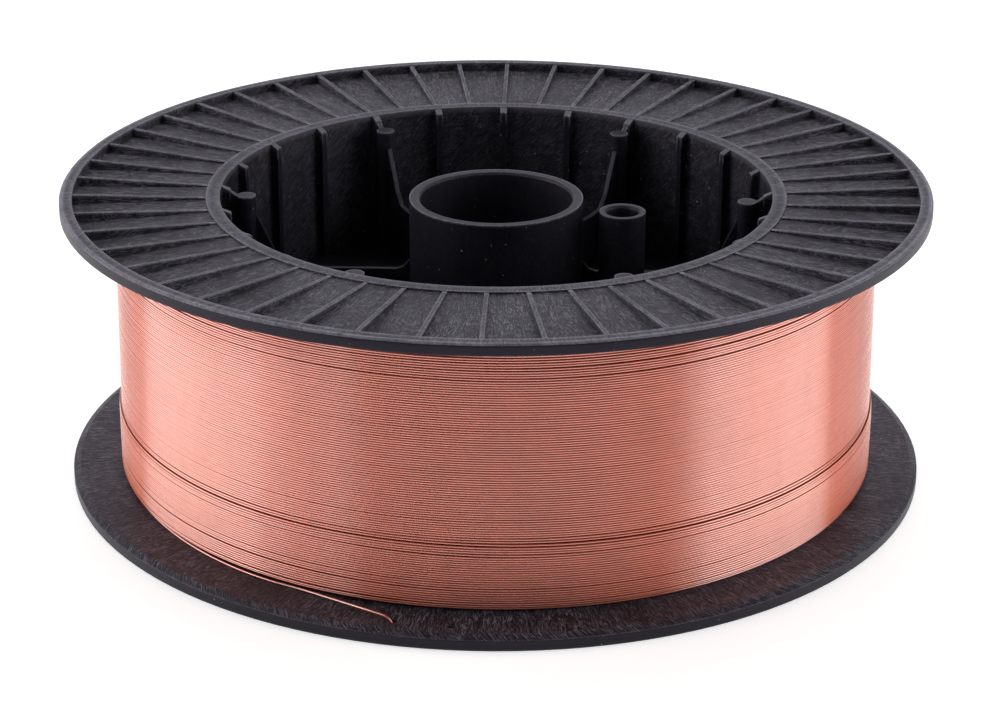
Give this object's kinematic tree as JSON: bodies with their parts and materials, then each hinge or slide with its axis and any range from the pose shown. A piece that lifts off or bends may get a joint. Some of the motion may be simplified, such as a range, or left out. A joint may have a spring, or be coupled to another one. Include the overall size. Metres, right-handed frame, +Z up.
{
  "type": "welding wire spool",
  "caption": "Flat plastic spool with ribbed flanges, a central spindle hub and a driving hole, wound with copper-coated welding wire.",
  "frame": {"origin": "on the spool's axis, at the lowest face of the lower flange, which is the floor it lies on", "axes": "+Z up along the spool's axis, +Y to the back of the pictured view, +X to its right"},
  "size_m": [0.3, 0.3, 0.103],
  "materials": {
    "spool": "moulded, satin, slightly scuffed",
    "wire_winding": "copper-coated steel wire, satin",
    "wire_end": "copper-coated steel wire, satin"
  },
  "bodies": {
    "root": {"spool": "spool", "wire_winding": "wire_winding", "wire_end": "wire_end"}
  },
  "joints": []
}
